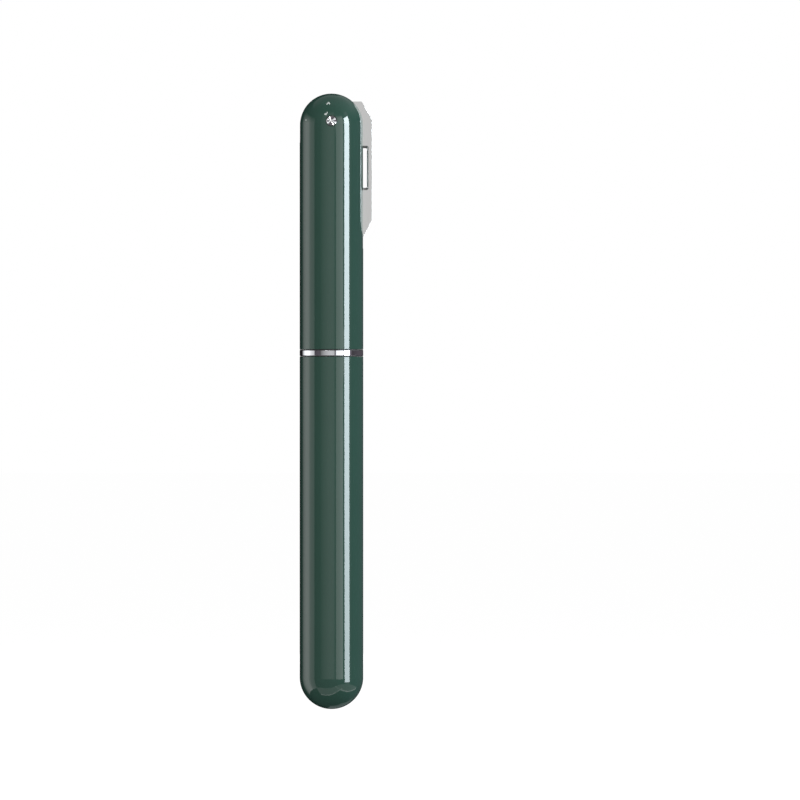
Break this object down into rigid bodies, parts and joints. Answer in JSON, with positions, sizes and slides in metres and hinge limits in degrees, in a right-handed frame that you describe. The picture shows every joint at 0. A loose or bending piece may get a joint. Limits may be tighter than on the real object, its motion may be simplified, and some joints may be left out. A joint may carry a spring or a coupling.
{
  "type": "air pump wine opener",
  "caption": "Slim hand air pump with a hollow needle that lifts a cork out of a bottle by pressure, and a cap with a fold-out foil blade.",
  "frame": {"origin": "the pole of the pump sleeve's round end, on the body's axis", "axes": "+Z along the body from the pump sleeve to the cap, +X to the side that the foil blade folds into, +Y across the blade, away from the pivot pin's head"},
  "size_m": [0.0251, 0.022, 0.2129],
  "materials": {
    "green_gloss_abs": "moulded, high gloss dark green",
    "polished_chrome": "turned and polished",
    "stainless_steel": "satin",
    "drawn_aluminium": "drawn tube, smooth bore",
    "brass": "turned",
    "black_nylon": "moulded, matt black",
    "white_acetal": "machined, off white",
    "nitrile_rubber": "moulded, matt black"
  },
  "bodies": {
    "pump": {"pump_sleeve": "green_gloss_abs", "cylinder_tube": "drawn_aluminium", "end_plug": "black_nylon", "end_plug_oring": "nitrile_rubber", "bump_washer": "nitrile_rubber", "gland_bush": "white_acetal", "gland_wiper": "nitrile_rubber", "gland_nut": "black_nylon"},
    "plunger": {"plunger_tube": "stainless_steel", "piston_body": "white_acetal", "piston_cup": "nitrile_rubber", "piston_nut": "brass", "piston_oring": "nitrile_rubber", "valve_retainer": "brass", "valve_spring": "stainless_steel", "head_body": "black_nylon", "trim_ring": "polished_chrome", "head_oring": "nitrile_rubber", "cap_grip_ring": "nitrile_rubber", "needle_hub": "brass", "hub_gasket": "nitrile_rubber", "needle": "stainless_steel"},
    "valve_ball": {"check_ball": "stainless_steel"},
    "cap": {"cap_shell": "green_gloss_abs", "cap_liner": "black_nylon", "blade_carrier": "black_nylon", "pivot_pin": "polished_chrome", "pivot_screw": "stainless_steel", "thrust_washer_front": "white_acetal", "thrust_washer_back": "white_acetal", "tension_washer": "stainless_steel"},
    "blade": {"foil_blade": "stainless_steel"}
  },
  "joints": [
    {"name": "plunger_slide", "type": "slide", "parent": "pump", "child": "plunger", "axis": [0, 0, 1], "range_m": [0, 0.075]},
    {"name": "check_valve_lift", "type": "slide", "parent": "plunger", "child": "valve_ball", "axis": [0, 0, 1], "range_m": [0, 0.0008], "stiffness_N_per_m": 60, "springref_m": -0.0005, "deforming": ["valve_spring"]},
    {"name": "cap_pull", "type": "slide", "parent": "plunger", "child": "cap", "axis": [0, 0, 1], "range_m": [0, 0.075]},
    {"name": "foil_blade_fold", "type": "hinge", "parent": "cap", "child": "blade", "pos_m": [0, 0, 0.2033], "axis": [0, -1, 0], "range_deg": [0, 180]}
  ]
}
